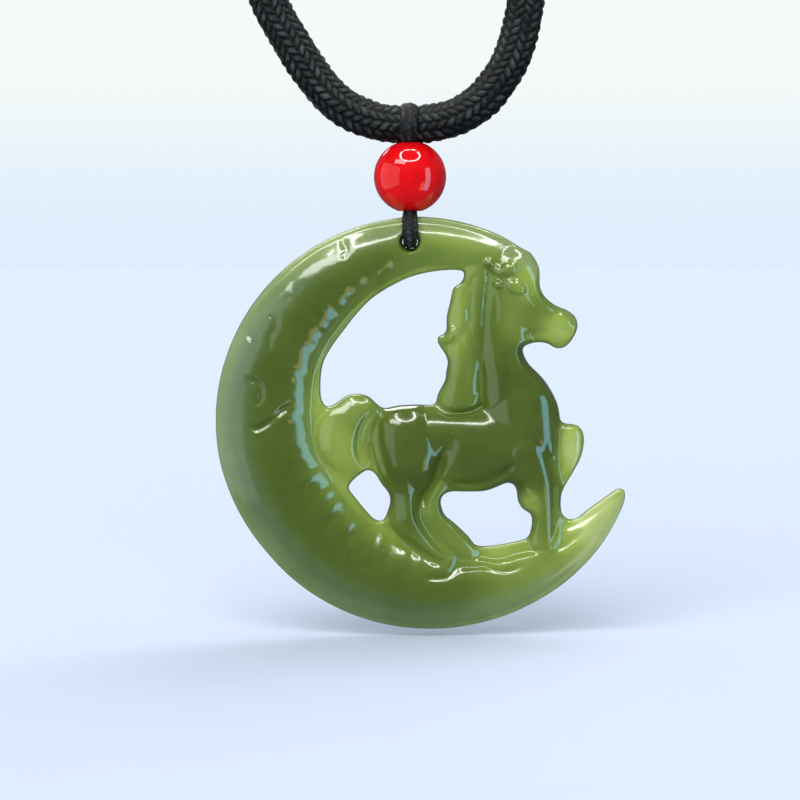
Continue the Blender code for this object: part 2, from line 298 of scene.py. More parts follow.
def cord_material(name, dark, light, roughness, fibre_scale, sheen):
    """Black spun fibre with painted shade: the grooves between stitches are painted black, the
    stitch tops lighter.
    """
    material, tree, shader = new_material(name, dark, roughness)
    fibres = noise(tree, fibre_scale, 4.0, 0.65)
    patches = noise(tree, fibre_scale * 0.16, 2.0, 0.6)
    # Painted shade: the lift attribute turns the grooves between stitches black and leaves the
    # stitch tops lighter.
    lift = tree.nodes.new("ShaderNodeAttribute")
    lift.attribute_name = "lift"
    groove_shade_mask = ramp(tree, lift.outputs["Fac"], [(0.50, (0, 0, 0)), (0.85, (1, 1, 1))])
    spun = ramp(tree, fibres, [(0.30, dark), (0.66, light)])
    patchy = ramp(tree, patches, [(0.38, (0.08, 0.08, 0.08)), (0.60, (1, 1, 1))])
    tone = mixed(tree, mixed(tree, 1.0, groove_shade_mask, patchy, "MULTIPLY"), dark, spun)
    tree.links.new(tone, shader.inputs["Base Color"])
    rough = tree.nodes.new("ShaderNodeMapRange")
    rough.inputs["To Min"].default_value = roughness - 0.12
    rough.inputs["To Max"].default_value = roughness + 0.15
    tree.links.new(fibres, rough.inputs["Value"])
    tree.links.new(rough.outputs["Result"], shader.inputs["Roughness"])
    shader.inputs["Sheen Weight"].default_value = sheen
    shader.inputs["Sheen Roughness"].default_value = 0.4
    shader.inputs["Sheen Tint"].default_value = (0.55, 0.62, 0.68, 1.0)
    shader.inputs["Specular IOR Level"].default_value = 0.22
    bump(tree, shader, fibres, 0.00012)
    return material


def bead_material():
    """Polished red agate, with faint clouds in it."""
    red = (0.60, 0.004, 0.010)
    material, tree, shader = new_material("red_agate", red, 0.06)
    clouds = noise(tree, 260.0, 3.0)
    tone = ramp(tree, clouds, [(0.3, (0.56, 0.001, 0.003)), (0.7, (0.76, 0.004, 0.009))])
    tree.links.new(tone, shader.inputs["Base Color"])
    shader.inputs["Subsurface Weight"].default_value = 0.25
    shader.inputs["Subsurface Radius"].default_value = (1.0, 0.08, 0.06)
    shader.inputs["Subsurface Scale"].default_value = 0.0014
    shader.inputs["IOR"].default_value = 1.54
    shader.inputs["Specular IOR Level"].default_value = 0.42
    return material


def jade_material():
    """Polished green nephrite: olive where thick, and a painted yellow-green glow of light through
    thin stone.
    """
    material, tree, shader = new_material("jade", (0.09, 0.17, 0.03), 0.14)
    stone = tree.nodes.new("ShaderNodeAttribute")
    stone.attribute_name = "stone"
    parts = tree.nodes.new("ShaderNodeSeparateColor")
    tree.links.new(stone.outputs["Color"], parts.inputs["Color"])
    thick, band = parts.outputs["Red"], parts.outputs["Green"]
    # Painted light: this ramp paints the glow of light through thin stone into the base colour,
    # from the thickness channel.
    body = ramp(tree, thick, [(0.12, (0.36, 0.44, 0.150)), (0.32, (0.25, 0.335, 0.060)),
                              (0.52, (0.145, 0.215, 0.036)), (0.72, (0.080, 0.123, 0.017)),
                              (0.95, (0.058, 0.092, 0.012))])
    edge = ramp(tree, thick, [(0.20, (0.25, 0.33, 0.14)), (0.70, (0.084, 0.142, 0.080))])
    clouds = noise(tree, 120.0, 4.0, 0.6)
    wisps = noise(tree, 420.0, 5.0, 0.65)
    band_share = ramp(tree, band, [(0.55, (0, 0, 0)), (0.86, (0.7, 0.7, 0.7))], smooth=True)
    tone = mixed(tree, band_share, body, edge)
    cloudy = ramp(tree, clouds, [(0.30, (0.80, 0.84, 0.72)), (0.70, (1.16, 1.12, 1.20))])
    tone = mixed(tree, 0.8, tone, cloudy, "MULTIPLY")
    wispy = ramp(tree, wisps, [(0.40, (0.92, 0.94, 0.9)), (0.75, (1.14, 1.10, 1.2))])
    tone = mixed(tree, 0.6, tone, wispy, "MULTIPLY")
    tree.links.new(tone, shader.inputs["Base Color"])
    shader.inputs["Subsurface Weight"].default_value = 0.2
    shader.inputs["Subsurface Radius"].default_value = (0.5, 1.0, 0.3)
    shader.inputs["Subsurface Scale"].default_value = 0.0014
    shader.inputs["IOR"].default_value = 1.61
    bump(tree, shader, noise(tree, 1500.0, 2.0), 0.000012)
    return material


# ---------------------------------------------------------------- cords

# Cord routes as in part.py: x, z for the neck cord and x, y, z for the thin ones
NECK_ROUTE = [
    (-13.2, 156.0), (-15.6, 135.0), (-17.6, 112.0), (-19.0, 90.0), (-19.8, 70.0),
    (-19.6, 52.0), (-18.3, 38.0), (-15.9, 27.6), (-13.4, 22.6), (-10.4, 18.0), (-7.6, 15.1),
    (-4.6, 13.6), (-2.2, 13.1), (0.0, 13.05), (2.4, 13.15), (5.4, 14.0), (8.2, 15.9),
    (10.4, 18.8), (11.8, 22.0), (12.8, 27.0), (13.6, 38.0), (14.2, 52.0), (14.6, 70.0),
    (14.4, 90.0), (13.9, 112.0), (13.2, 135.0), (12.4, 156.0),
]
THIN_ROUTE = [
    (-12.6, 0.0, 171.5), (-13.4, -0.5, 179.0), (-14.6, -0.9, 186.0), (-14.9, -1.05, 191.4),
    (-13.2, -1.05, 195.0), (-10.2, -1.05, 195.9), (-5.0, -1.05, 195.9), (0.0, -1.05, 195.9),
    (5.0, -1.05, 195.9), (10.2, -1.05, 195.9), (13.6, -1.2, 194.8), (16.2, -1.5, 191.0),
    (17.2, -1.8, 185.0), (17.2, -1.9, 178.5), (16.9, -1.9, 173.2),
]
NECK_RADIUS = 2.1
NECK_WAIST_RADIUS = 1.3
NECK_WAIST_HALF = 0.55
NECK_SHOULDER = 1.1
NECK_HEIGHT = 13.05
THIN_RADIUS = 0.75
WRAP_LENGTH = 9.0
# The end wrap's radius by height; it reaches WRAP_OVERLAP over the cord at each end
WRAP_PROFILE = np.array([(-0.6, 2.25), (0.0, 2.4), (0.8, 2.6), (6.4, 2.6), (7.9, 2.1), (9.0, 1.4),
                         (9.5, 0.95)])
WRAP_OVERLAP = 0.5
WRAP_THREAD = 0.62
TAIL_KNOT_RADIUS = 1.8
TAIL_KNOT_OVERLAP = 0.75
JOIN_GAP = 0.2
SEEN_TOP = 30.0
SEEN_SPACING = 0.12
UNSEEN_SPACING = 0.30
NECK_PLAITS = 12
NECK_STITCH = 1.02
NECK_STITCH_DEPTH = 0.50
NECK_CORE_DEPTH = 0.46
THIN_PLAITS = 8
THIN_STITCH = 0.6
KNOT_HEIGHT = 195.9
KNOT_TURNS = 12
KNOT_HALF_LENGTH = 9.1
KNOT_HALF_DEPTH = 1.92
KNOT_HALF_HEIGHT = 1.14
KNOT_TUBE = 0.78
KNOT_STEPS_A_TURN = 36


def evenly(line, step):
    """The line's points moved so that they are step apart, or nearly."""
    line = np.array(line, float)
    along = np.concatenate([[0], np.cumsum(np.linalg.norm(np.diff(line, axis=0), axis=1))])
    count = max(2, int(round(along[-1] / step)) + 1)
    places = np.linspace(0, along[-1], count)
    return np.column_stack([np.interp(places, along, line[:, n]) for n in range(3)]), places


def frames(line, start_side):
    """Two directions square to each place of a line, carried along it without twist."""
    ahead = np.gradient(line, axis=0)
    ahead /= np.linalg.norm(ahead, axis=1, keepdims=True)
    side = np.array(start_side, float)
    sides = []
    for direction in ahead:
        side = side - direction * side.dot(direction)
        side /= np.linalg.norm(side)
        sides.append(side)
    sides = np.array(sides)
    return sides, np.cross(ahead, sides)


def swept(line, first, second, reach, closed=False):
    """Points and faces of a tube; reach is its radius at each place (rows) and turn (columns)."""
    rows, around = reach.shape
    turn = 2 * np.pi * np.arange(around) / around
    points = (line[:, None, :] + first[:, None, :] * (reach * np.cos(turn))[..., None]
              + second[:, None, :] * (reach * np.sin(turn))[..., None]).reshape(-1, 3)
    row, column = np.meshgrid(np.arange(rows if closed else rows - 1), np.arange(around),
                              indexing="ij")
    beside, above = (column + 1) % around, (row + 1) % rows
    faces = np.stack([row * around + column, row * around + beside,
                      above * around + beside, above * around + column], -1).reshape(-1, 4)
    faces = [tuple(face) for face in faces]
    if not closed:
        faces.append(tuple(range(around - 1, -1, -1)))
        faces.append(tuple(range((rows - 1) * around, rows * around)))
    return points, faces


def braid(turn, along, columns, pitch, depth, lean=0.36):
    """Leaning stitches in columns round a cord: how far each place stands off the core."""
    place = turn * columns / (2 * np.pi)
    column = np.floor(place)
    across = 2 * (place - column) - 1
    side = np.where(column % 2 == 0, 1.0, -1.0)
    stitch = along / pitch + lean * side * across + 0.5 * (column % 2)
    within = 2 * (stitch - np.floor(stitch)) - 1
    uneven = 0.84 + 0.16 * np.sin(7.1 * np.floor(stitch) + 3.3 * column)
    dome = (1 - np.abs(across) ** 2.6) * (1 - np.abs(within) ** 2.6)
    return depth * uneven * dome ** 0.5 * (1 + 0.28 * within)


def ply(turn, along, strands, pitch, depth):
    """Twisted strands: ridges that climb round a cord."""
    wave = np.abs(np.sin(0.5 * strands * (turn + 2 * np.pi * along / pitch / strands)))
    return depth * wave ** 0.7


def cord_piece(name, line, side, radii, around, relief, depth, body, material,
               replaces=(), closed=False):
    """A cord with real relief. radii are its outer radius along the line, in millimetres.

    relief gives how far each place stands off a core that is depth under that radius.
    """
    first, second = frames(line, side)
    along = np.concatenate([[0], np.cumsum(np.linalg.norm(np.diff(line, axis=0), axis=1))])
    turn = 2 * np.pi * (np.arange(around) + 0.5) / around
    stand_off = relief(turn[None, :], along[:, None])
    reach = np.asarray(radii, float).reshape(-1, 1) - depth + stand_off
    points, faces = swept(line, first, second, reach, closed)
    piece = mesh_object(name, np.array(HOLE) + points * MM, faces, body, replaces)
    piece.data.materials.append(material)
    # lift, the stand-off scaled to 0 to 1, drives the painted groove shade in the cord material.
    lift = piece.data.attributes.new("lift", "FLOAT", "POINT")
    lift.data.foreach_set("value", (stand_off / stand_off.max()).astype(np.float32).ravel())
    return piece


def neck_radius(x, z):
    """The neck cord is squeezed where the hang loop goes round it."""
    share = np.clip((np.abs(x) - NECK_WAIST_HALF) / (NECK_SHOULDER - NECK_WAIST_HALF), 0, 1)
    squeezed = NECK_WAIST_RADIUS + share * (NECK_RADIUS - NECK_WAIST_RADIUS)
    return np.where(z > NECK_HEIGHT + 4.0, NECK_RADIUS, squeezed)


def neck_line():
    """The neck cord's middle line, close-set where it is seen and wider apart above."""
    route = smooth_line([(x, 0.0, z) for x, z in NECK_ROUTE], 1.0)
    fine, _ = evenly(route, 0.125)
    keep, gap = [0], 0.0
    for index in range(1, len(fine)):
        gap += np.linalg.norm(fine[index] - fine[index - 1])
        if gap >= (SEEN_SPACING if fine[index][2] < SEEN_TOP else UNSEEN_SPACING):
            keep.append(index)
            gap = 0.0
    return fine[keep]


def make_neck_cord(material):
    line = neck_line()
    piece = cord_piece(
        "neck_cord_braid", line, (0, 1, 0), neck_radius(line[:, 0], line[:, 2]) + 0.05, 96,
        lambda turn, along: braid(turn, along, NECK_PLAITS, NECK_STITCH, NECK_STITCH_DEPTH),
        NECK_CORE_DEPTH, "necklace", material, ["neck_cord"])


def wrap_line(foot, above):
    """The middle line of an end wrap, the heights along it, and where the thin cord starts."""
    foot, above = (np.array([x, 0.0, z]) for x, z in (foot, above))
    lean = (foot - above) / np.linalg.norm(foot - above)
    base = foot + lean * JOIN_GAP
    top = base + lean * (WRAP_LENGTH + JOIN_GAP)
    places = np.arange(-WRAP_OVERLAP, WRAP_LENGTH + WRAP_OVERLAP, 0.09)
    return np.array([base + lean * s for s in places]), places, top


def make_end_wrap(label, foot, above, material):
    """Thread wound tightly over the joint of a thick and a thin cord."""
    line, places, top = wrap_line(foot, above)
    radii = np.interp(places, WRAP_PROFILE[:, 0], WRAP_PROFILE[:, 1])

    def wound(turn, along):
        return 0.16 * np.abs(np.sin(np.pi * (along / WRAP_THREAD + turn / (2 * np.pi)))) ** 0.7

    cord_piece("end_wrap_thread_" + label, line, (0, 1, 0), radii, 48, wound, 0.14, "necklace",
               material, ["end_wrap_" + label])
    return top


def make_tail_knot(label, end, direction, material):
    """An overhand knot pulled tight at the end of a thin cord's tail."""
    centre = end + direction * (TAIL_KNOT_RADIUS + JOIN_GAP - TAIL_KNOT_OVERLAP)
    turn = np.linspace(0, 2 * np.pi, 150, endpoint=False)
    scale = 0.40
    flat = np.column_stack([np.sin(turn) + 2 * np.sin(2 * turn), -1.5 * np.sin(3 * turn),
                            np.cos(turn) - 2 * np.cos(2 * turn)]) * scale
    return cord_piece("tail_knot_tied_" + label, centre + flat, (0, 1, 0),
                      np.full(len(flat), 0.62), 14,
                      lambda a, s: ply(a, s, 2, 1.1, 0.08), 0.08, "necklace",
                      material, ["tail_knot_" + label], closed=True)


def make_thin_cord(label, side, start, material):
    """A thin cord from its end wrap, through the knot and down to its tail."""
    route = [tuple(start)] + [(side * x, side * y, z) for x, y, z in THIN_ROUTE]
    line, _ = evenly(smooth_line(route, 0.5), 0.17)
    direction = (line[-1] - line[-2]) / np.linalg.norm(line[-1] - line[-2])
    knot = make_tail_knot(label, line[-1], direction, material)
    piece = cord_piece(
        "thin_cord_braid_" + label, line, (0, 1, 0), np.full(len(line), THIN_RADIUS), 24,
        lambda turn, along: braid(turn, along, THIN_PLAITS, THIN_STITCH, 0.13), 0.12, "necklace",
        material, ["thin_cord_" + label])


def make_sliding_knot(material):
    """Cord wound in close turns round the two thin cords."""
    steps = KNOT_STEPS_A_TURN * KNOT_TURNS
    place = np.arange(steps + 1)
    turn = 2 * np.pi * place / KNOT_STEPS_A_TURN
    x = np.linspace(-KNOT_HALF_LENGTH, KNOT_HALF_LENGTH, steps + 1)
    tuck = 0.5 + 0.5 * np.clip(np.minimum(place, steps - place) / 12, 0, 1) ** 0.5
    line = np.column_stack([x, KNOT_HALF_DEPTH * np.sin(turn) * tuck,
                            KNOT_HEIGHT + KNOT_HALF_HEIGHT * np.cos(turn) * tuck])
    cord_piece("sliding_knot_wound", line, (1, 0, 0), np.full(len(line), KNOT_TUBE), 16,
               lambda turn, along: braid(turn, along, THIN_PLAITS, THIN_STITCH, 0.12), 0.12,
               "necklace", material, ["sliding_knot"])


# ---------------------------------------------------------------- bead and hang loop

BEAD_RADIUS = 4.0
BEAD_HEIGHT = 7.25
BORE_MOUTH_RADIUS = 1.32
# The bore's mouth from its edge inwards: radius, height above the ball's edge
BORE_MOUTH = [(1.27, 0.01), (1.21, -0.06), (1.16, -0.2), (1.15, -0.6)]
LOOP_RADIUS = 0.5
LOOP_AROUND = 28
# The strand's breadth by height: height, breadth over thickness
LOOP_BREADTH = np.array([(0.4, 1.55), (1.2, 1.9), (2.6, 1.75), (4.5, 1.35), (11.0, 1.4),
                         (13.0, 1.5)])
# The hitch's two turns: name, place along the neck cord, thread radius, ring radius
HITCH_TURNS = [("left", -0.52, 0.56, 1.80), ("right", 0.56, 0.44, 1.72)]


def make_bead(material):
    """A polished ball with a bore down its middle that widens at both mouths."""
    mouth = math.acos(BORE_MOUTH_RADIUS / BEAD_RADIUS)
    profile = [(BEAD_RADIUS * math.cos(turn), BEAD_RADIUS * math.sin(turn))
               for turn in np.linspace(mouth, -mouth, 97)]
    edge = profile[0][1]
    rim = [(radius, edge + rise) for radius, rise in BORE_MOUTH]
    profile += [(r, -z) for r, z in rim] + rim[::-1]
    around = 144
    points = [(r * math.cos(2 * math.pi * k / around), r * math.sin(2 * math.pi * k / around),
               BEAD_HEIGHT + z) for r, z in profile for k in range(around)]
    rows = len(profile)
    faces = [(i * around + k, i * around + (k + 1) % around,
              (i + 1) % rows * around + (k + 1) % around, (i + 1) % rows * around + k)
             for i in range(rows) for k in range(around)]
    faces = [face[::-1] for face in faces]
    bead = mesh_object("red_bead_polished", np.array(HOLE) + np.array(points) * MM, faces,
                       "bead", ["red_bead"])
    bead.data.materials.append(material)


def loop_half():
    """Half of the hang loop's route as (y, z), from over the neck cord down into the hole."""
    reach = NECK_WAIST_RADIUS + 0.1 + LOOP_RADIUS
    over = [(reach * math.sin(turn), NECK_HEIGHT + reach * math.cos(turn))
            for turn in (math.radians(step * 22.5) for step in range(7))]
    through = [(0.86, 11.1), (0.62, 10.4), (0.58, 9.3), (0.58, 7.3), (0.58, 5.3), (0.60, 4.4),
               (0.82, 3.7)]
    round_rim = [(1.3, 3.08), (1.86, 2.5), (2.28, 1.75), (2.46, 0.95), (2.34, 0.15), (1.9, -0.22),
                 (1.3, -0.02), (0.6, 0.28)]
    return over + through + round_rim


def make_hang_loop(material):
    """The loop of waxed thread that carries the stone, and its hitch round the neck cord."""
    half = [(0.0, y, z) for y, z in loop_half()]
    points = [*half, (0.0, 0.0, 0.36), *[(0.0, -y, z) for _, y, z in reversed(half[1:])]]
    line = smooth_line(points, 0.12, closed=True)
    breadth = np.interp(line[:, 2], LOOP_BREADTH[:, 0], LOOP_BREADTH[:, 1])

    def twist(turn, along):
        return ply(turn, along, 4, 3.0, 0.06) + braid(turn, along, 6, 0.55, 0.15)

    loop = cord_piece("hang_loop_thread", line, (1, 0, 0), np.full(len(line), LOOP_RADIUS),
                      LOOP_AROUND, twist, 0.16, "loop", material, ["hang_loop"],
                      closed=True)
    middle = np.repeat(line, LOOP_AROUND, axis=0)
    spread = np.repeat(breadth, LOOP_AROUND)
    co = np.zeros(len(loop.data.vertices) * 3)
    loop.data.vertices.foreach_get("co", co)
    co = (co.reshape(-1, 3) - np.array(HOLE)) / MM
    co[:, 0] = middle[:, 0] + (co[:, 0] - middle[:, 0]) * spread
    loop.data.vertices.foreach_set("co", (np.array(HOLE) + co * MM).ravel())
    loop.data.update()
    for label, x, radius, reach in HITCH_TURNS:
        turn = np.linspace(0, 2 * np.pi, 90, endpoint=False)
        ring = np.column_stack([x + 0.12 * np.sin(turn), reach * np.sin(turn),
                                NECK_HEIGHT + reach * np.cos(turn)])
        cord_piece("hang_loop_hitch_" + label, ring, (1, 0, 0), np.full(90, radius), 20,
                   lambda a, s: ply(a, s, 4, 2.6, 0.07), 0.07, "loop", material,
                   closed=True)


# ---------------------------------------------------------------- the carving's outlines

MOON_CENTRE = (1.56, -20.1)
# angle in degrees, outer radius, inner radius, half thickness
MOON = np.array([
    (40, 21.0, 17.5, 2.0), (62, 22.4, 17.2, 2.0), (90, 22.95, 16.7, 2.05),
    (108, 23.05, 15.3, 2.7), (130, 23.15, 13.7, 3.1), (150, 23.2, 12.95, 3.15),
    (170, 23.2, 11.95, 3.1),
    (190, 23.1, 11.6, 3.1), (205, 22.85, 11.1, 3.1), (220, 22.65, 11.1, 3.0),
    (235, 22.7, 11.6, 2.95), (250, 22.75, 12.2, 2.9), (270, 22.9, 13.2, 2.75),
    (285, 23.1, 14.0, 2.5), (300, 23.4, 15.7, 2.25), (312, 23.7, 17.2, 1.95),
    (323, 23.9, 18.9, 1.6), (333, 23.95, 20.8, 1.2), (342, 23.7, 23.0, 0.8),
    (360, 23.0, 23.5, 0.5),
], float)

TIP_AND_HORSE = [
    (23.9, -28.6), (23.75, -27.4), (23.1, -27.35), (21.6, -28.4), (19.8, -29.7), (18.7, -30.6),
    (17.8, -30.8), (17.1, -30.4), (16.8, -29.6), (16.8, -28.3), (17.1, -27.3), (18.2, -25.4),
    (19.0, -23.8), (19.35, -22.0), (19.1, -20.8), (18.4, -20.25), (17.2, -20.1), (16.75, -19.8),
    (16.4, -18.0), (15.6, -16.3), (14.6, -14.9), (13.3, -13.6), (12.65, -12.5), (12.6, -11.6),
    (13.9, -11.1), (15.2, -11.2), (16.2, -11.75), (17.2, -11.6), (18.1, -10.6), (18.6, -9.3),
    (18.3, -8.2), (17.4, -7.5), (16.1, -6.95), (14.95, -6.0), (14.4, -4.8), (14.3, -2.8),
    (13.4, -1.2),
]
MAIN_OPENING = [
    (5.0, -3.05), (6.0, -3.35), (5.7, -4.4), (4.8, -5.1), (4.45, -6.6), (4.05, -8.3),
    (4.05, -9.6), (3.7, -10.2), (3.1, -10.45), (3.05, -11.1), (3.9, -12.4), (4.2, -13.3),
    (4.0, -14.4), (3.9, -15.3), (3.1, -16.8), (2.7, -17.95), (0.8, -18.0), (-1.2, -18.1),
    (-2.9, -18.4), (-3.7, -17.9), (-4.6, -17.1), (-5.8, -16.8), (-7.0, -17.0), (-8.3, -17.9),
    (-9.2, -18.25), (-9.75, -17.6), (-9.95, -16.2), (-9.7, -13.6), (-8.7, -11.6), (-7.3, -9.7),
    (-5.8, -7.8), (-3.8, -5.9), (-0.6, -4.1), (2.2, -3.3),
]
TAIL_OPENING = [
    (-4.8, -25.3), (-3.9, -25.7), (-3.2, -26.8), (-2.35, -27.9), (-2.2, -28.8), (-2.5, -29.9),
    (-3.0, -30.9), (-3.9, -30.8), (-5.0, -29.7), (-6.2, -28.2), (-6.85, -27.3), (-6.3, -26.4),
]
BELLY_OPENING = [
    (3.4, -28.8), (3.8, -28.0), (4.6, -27.7), (6.6, -27.7), (8.4, -27.6), (9.8, -27.1),
    (10.8, -26.7), (11.6, -27.0), (11.9, -27.8), (12.0, -28.7), (12.5, -29.6), (13.3, -30.1),
    (13.6, -30.9), (13.4, -32.2), (13.0, -32.9), (11.7, -33.3), (9.8, -33.65), (8.1, -33.8),
    (7.2, -33.6), (6.6, -32.8), (5.7, -31.9), (4.7, -31.0), (3.8, -30.2),
]
# The height maps' spacing and corners, and how far the horse's forms swell past their radii
GRID = 0.08
LOW = np.array([-23.0, -44.2])
HIGH = np.array([25.2, 4.2])
FORM_SWELL = 1.06
# Where the crescent is thickest, from its inner edge (0) to its outer one (1)
CROWN = 0.48
HOLE_RADIUS = 0.86
HOLE_LIFT = 0.12
RIM_WIDTH = 2.4
RIM_HALF = 3.9
LEAST_HALF = 0.5
THICKNESS_BLUR = 400
FULL_THICKNESS = 6.5
PALE_SHARE = 0.45


def moon_value(angle, column):
    return np.interp(angle, MOON[:, 0], MOON[:, column])


def outline():
    """The carving's outer edge, anticlockwise from the top right."""
    angles = np.arange(60.0, 334.0, 8.0)
    turn = np.radians(angles)
    reach = moon_value(angles, 1)
    round_part = np.column_stack([MOON_CENTRE[0] + reach * np.cos(turn),
                                  MOON_CENTRE[1] + reach * np.sin(turn)])
    return np.vstack([round_part, TIP_AND_HORSE])


def signed_distance(x, z, points):
    """Distance to a closed outline, negative inside."""
    line = smooth_line(points, 0.45, closed=True)
    near = np.full(x.shape, 1e9, np.float32)
    inside = np.zeros(x.shape, bool)
    for (ax, az), (bx, bz) in zip(line, np.roll(line, -1, axis=0)):
        dx, dz = bx - ax, bz - az
        t = np.clip(((x - ax) * dx + (z - az) * dz) / (dx * dx + dz * dz + 1e-12), 0, 1)
        near = np.minimum(near, (x - ax - t * dx) ** 2 + (z - az - t * dz) ** 2)
        if az != bz:
            crosses = (z > az) != (z > bz)
            inside ^= crosses & (x < ax + (z - az) * dx / (bz - az))
    near = np.sqrt(near)
    return np.where(inside, -near, near)


def near_line(x, z, points):
    """Distance to an open smooth line, and how far along it the nearest place is, 0 to 1."""
    line = smooth_line(points, 0.5)
    near = np.full(x.shape, 1e9, np.float32)
    along = np.zeros(x.shape, np.float32)
    count = len(line) - 1
    for index in range(count):
        (ax, az), (bx, bz) = line[index], line[index + 1]
        dx, dz = bx - ax, bz - az
        t = np.clip(((x - ax) * dx + (z - az) * dz) / (dx * dx + dz * dz + 1e-12), 0, 1)
        gap = (x - ax - t * dx) ** 2 + (z - az - t * dz) ** 2
        closer = gap < near
        near = np.where(closer, gap, near)
        along = np.where(closer, (index + t) / count, along)
    return np.sqrt(near), along


def smooth_max(a, b, k):
    h = np.clip(0.5 + 0.5 * (a - b) / k, 0, 1)
    return b * (1 - h) + a * h + k * h * (1 - h)


def limb(x, z, stations, flatness):
    """A rounded form along stations of (x, z, radius), as the square of its half thickness."""
    value = np.full(x.shape, -1e3, np.float32)
    for px, pz, radius in smooth_line(stations, 0.2):
        value = np.maximum(value, (radius * FORM_SWELL) ** 2 - (x - px) ** 2 - (z - pz) ** 2)
    return value * flatness ** 2


def blob_square(x, z, centre, size, angle=0.0):
    """1 in the middle of an oval, 0 at its rim and negative outside it."""
    turn = math.radians(angle)
    dx, dz = x - centre[0], z - centre[1]
    u = (dx * math.cos(turn) + dz * math.sin(turn)) / size[0]
    v = (-dx * math.sin(turn) + dz * math.cos(turn)) / size[1]
    return 1 - u * u - v * v


def blob(x, z, centre, size, angle=0.0):
    """A rounded bump: 1 in the middle of an oval, falling to 0 at its rim."""
    return np.sqrt(np.clip(blob_square(x, z, centre, size, angle), 0, 1))


# ---------------------------------------------------------------- the carving's relief

# The horse's forms: x, z and radius down each one
BARREL = [(0.6, -22.5, 4.2), (4.0, -22.6, 4.5), (8.6, -22.9, 4.75), (11.6, -21.8, 4.6)]
HAUNCH = [(-0.5, -21.7, 3.9), (0.2, -23.4, 4.1), (0.1, -25.6, 3.1)]
SHOULDER = [(12.4, -18.4, 4.2), (12.9, -21.4, 4.0), (13.4, -24.0, 3.2)]
NECK = [(12.5, -18.6, 4.2), (11.0, -14.0, 3.6), (10.6, -9.5, 3.2), (11.2, -5.0, 3.1)]
HEAD = [(11.4, -3.4, 3.0), (12.7, -6.6, 3.2), (15.1, -8.8, 2.6), (16.7, -9.7, 2.15)]
MANE = [(7.6, -3.0, 2.0), (6.6, -7.0, 2.5), (6.4, -11.2, 2.7), (6.0, -15.2, 2.5),
        (5.6, -17.6, 2.6)]
TAIL = [(-5.6, -19.7, 3.1), (-7.4, -21.6, 3.4), (-6.6, -24.0, 2.6), (-6.3, -26.0, 1.6)]
NEAR_HIND = [(-0.4, -24.0, 3.0), (-0.4, -27.6, 2.1), (0.0, -30.4, 2.3), (1.9, -33.2, 2.0),
             (4.0, -35.4, 1.7)]
FAR_HIND = [(4.0, -24.6, 2.0), (2.5, -28.4, 1.8), (3.4, -31.4, 1.8), (5.6, -34.0, 1.7),
            (7.4, -35.4, 1.3)]
NEAR_FORE = [(12.6, -23.0, 3.2), (13.9, -26.6, 2.9), (14.6, -30.0, 2.2), (14.8, -32.6, 1.8),
             (15.0, -35.0, 1.6)]
FAR_FORE = [(15.2, -23.0, 1.9), (15.8, -26.0, 1.5), (15.9, -30.0, 1.3), (15.8, -34.0, 1.5)]
RAISED = [(17.3, -21.6, 2.3), (17.4, -23.6, 2.1), (17.0, -25.6, 1.6), (16.5, -27.0, 1.4)]


def moon_square(x, z):
    """The square of the crescent's half thickness, and the place across it: 0 inside, 1 outside."""
    dx, dz = x - MOON_CENTRE[0], z - MOON_CENTRE[1]
    angle = np.degrees(np.arctan2(dz, dx)) % 360.0
    reach = np.hypot(dx, dz)
    outer, inner, thick = (moon_value(angle, column) for column in (1, 2, 3))
    width = np.maximum(outer - inner, 0.8)
    s = (reach - inner) / width
    outside = np.clip((s - CROWN) / (1 - CROWN), 0, 1.2)
    inside = np.clip((CROWN - s) / CROWN, 0, 1.2)
    near_top = np.clip((165 - angle) / 30, 0, 1)
    dome = np.where(s > CROWN, 1 - outside ** 2, 1 - inside ** 2)
    power = np.where(s > CROWN, 1.0 + 0.5 * near_top, 1.5)
    envelope = np.exp(-((s - 0.27) / 0.16) ** 2) * (angle > 100) * (angle < 300)
    facets = (0.50 * wedge(angle / 9.0 + 0.9 * s) + 0.35 * wedge(angle / 5.7 - 1.1 * s + 0.3)
              + 0.45 * wedge(angle / 14.0 + 0.2 + 0.5 * s))
    rim_facets = wedge(angle / 15.0 + 0.8 * s) + 0.4 * wedge(angle / 8.3 - 0.7 * s)
    rim_envelope = np.exp(-((s - 0.78) / 0.14) ** 2) * (angle > 93) * (angle < 135)
    half = np.maximum(dome, 0) ** (power / 2) * thick
    half = half + 0.21 * facets * envelope + 0.07 * rim_facets * rim_envelope
    square = np.where(dome > 0, half ** 2, dome * thick ** 2)
    square = np.where((s < -0.05) | (angle > 346) | (angle < 30), -1.0, square)
    return square.astype(np.float32), s


def wedge(value):
    """A wave of straight slopes between -0.5 and 0.5, one for each whole number."""
    return np.abs(value - np.floor(value) - 0.5) * 2 - 0.5


def add_lines(x, z, height, lines):
    """Raised or sunk lines: points, half width, height (negative sinks), and if rounded."""
    for points, half_width, amount, round_top in lines:
        gap, along = near_line(x, z, points)
        taper = np.clip(np.minimum(along, 1 - along) / 0.22, 0, 1) ** 0.5
        reach = half_width * (0.35 + 0.65 * taper)
        if round_top:
            height = height + amount * taper * np.sqrt(np.clip(1 - (gap / reach) ** 2, 0, 1))
        else:
            height = height + amount * taper * np.exp(-(gap / reach) ** 2)
    return height


